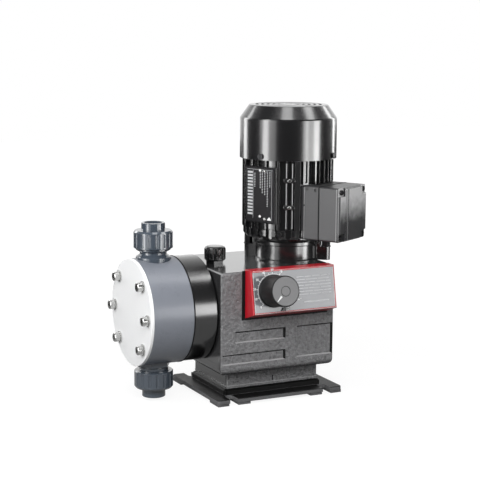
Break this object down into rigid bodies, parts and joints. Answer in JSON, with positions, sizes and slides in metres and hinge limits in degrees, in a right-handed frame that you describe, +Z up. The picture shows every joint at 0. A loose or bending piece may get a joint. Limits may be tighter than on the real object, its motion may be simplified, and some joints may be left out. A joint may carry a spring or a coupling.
{
  "type": "diaphragm metering pump",
  "caption": "Motor-driven diaphragm metering pump: vertical motor on a box gear housing, round dosing head with check valves, stroke knob on a tilted red panel.",
  "frame": {"origin": "centre of the base plate, at the level of its foot pads", "axes": "+X along the pump axis from the dosing head towards the motor side, -Y towards the control panel, +Z up along the motor"},
  "size_m": [0.339, 0.2255, 0.4102],
  "materials": {
    "gloss_black": "gloss black paint",
    "grey_casting": "fine textured charcoal paint",
    "pvc_grey": "turned blue-grey PVC",
    "pvc_dark": "moulded dark blue-grey PVC",
    "pale_plate": "pale bright plate",
    "stainless": "stainless steel",
    "black_plastic": "satin black plastic",
    "blackened": "blackened steel",
    "knob_grey": "dark grey insert",
    "red_bezel": "deep red",
    "faceplate_grey": "mid grey printed foil",
    "box_grey": "satin dark grey",
    "plate_dark": "dark anodised plate",
    "rubber_black": "black elastomer",
    "steel": "machined steel",
    "bronze": "bronze",
    "cast_shield": "bare casting",
    "copper": "enamelled copper windings",
    "ball_glass": "ceramic",
    "seat_white": "white seat plastic"
  },
  "bodies": {
    "pump": {"base_plate": "gloss_black", "cable_gland": "black_plastic", "diaphragm": "rubber_black", "discharge_body": "pvc_dark", "discharge_insert": "pvc_dark", "discharge_nut": "pvc_dark", "discharge_seal": "rubber_black", "discharge_seat": "seat_white", "dosing_head": "pvc_grey", "drain_plug": "black_plastic", "end_plate": "pale_plate", "end_shield": "gloss_black", "faceplate": "faceplate_grey", "fan_cover": "gloss_black", "fan_cover_screws": "blackened", "fan_shield": "cast_shield", "gear_housing": "grey_casting", "guide_bush": "bronze", "head_bolts": "stainless", "head_flange": "gloss_black", "head_washers": "stainless", "lid_screws": "blackened", "motor_frame": "gloss_black", "motor_lantern": "gloss_black", "motor_studs": "blackened", "nameplate": "plate_dark", "nameplate_rivets": "stainless", "panel_bezel": "red_bezel", "rear_cover": "grey_casting", "rear_screws": "stainless", "return_spring": "steel", "rod_seal": "rubber_black", "shaft_bearings": "steel", "shield_screws": "blackened", "spindle_bush": "bronze", "stator_core": "steel", "stator_windings": "copper", "suction_body": "pvc_dark", "suction_insert": "pvc_dark", "suction_nut": "pvc_dark", "suction_seal": "rubber_black", "suction_seat": "seat_white", "terminal_block": "black_plastic", "terminal_box": "box_grey", "terminal_lid": "box_grey", "wheel_bearings": "steel"},
    "rotor": {"motor_shaft": "steel", "rotor_core": "steel", "fan": "black_plastic", "worm": "steel"},
    "wheel": {"worm_wheel": "bronze", "eccentric_shaft": "steel"},
    "rod": {"push_rod": "steel", "diaphragm_core": "steel"},
    "dial": {"knob": "black_plastic", "knob_face": "knob_grey", "stroke_spindle": "steel"},
    "suction_check_ball": {"suction_ball": "ball_glass"},
    "discharge_check_ball": {"discharge_ball": "ball_glass"},
    "oil_cap": {"filler_cap": "black_plastic"}
  },
  "joints": [
    {"name": "rotor_spin", "type": "hinge", "parent": "pump", "child": "rotor", "pos_m": [0.049, 0, 0.2], "axis": [0, 0, 1], "continuous": true},
    {"name": "wheel_spin", "type": "hinge", "parent": "pump", "child": "wheel", "pos_m": [0.009, 0, 0.1271], "axis": [0, 1, 0], "continuous": true},
    {"name": "rod_slide", "type": "slide", "parent": "pump", "child": "rod", "axis": [-1, 0, 0], "range_m": [0, 0.003], "stiffness_N_per_m": 2000, "deforming": ["return_spring", "diaphragm"]},
    {"name": "stroke_turn", "type": "hinge", "parent": "pump", "child": "dial", "pos_m": [-0.0253, -0.10213, 0.162], "axis": [0, 0.9847, -0.1741], "range_deg": [0, 270]},
    {"name": "suction_lift", "type": "slide", "parent": "pump", "child": "suction_check_ball", "axis": [0, 0, 1], "range_m": [0, 0.003]},
    {"name": "discharge_lift", "type": "slide", "parent": "pump", "child": "discharge_check_ball", "axis": [0, 0, 1], "range_m": [0, 0.003]},
    {"name": "cap_lift", "type": "slide", "parent": "pump", "child": "oil_cap", "axis": [0, 0, 1], "range_m": [0, 0.02]}
  ],
  "couplings": [
    {"joint": "wheel_spin", "follows": "rotor_spin", "ratio": 0.033333}
  ]
}
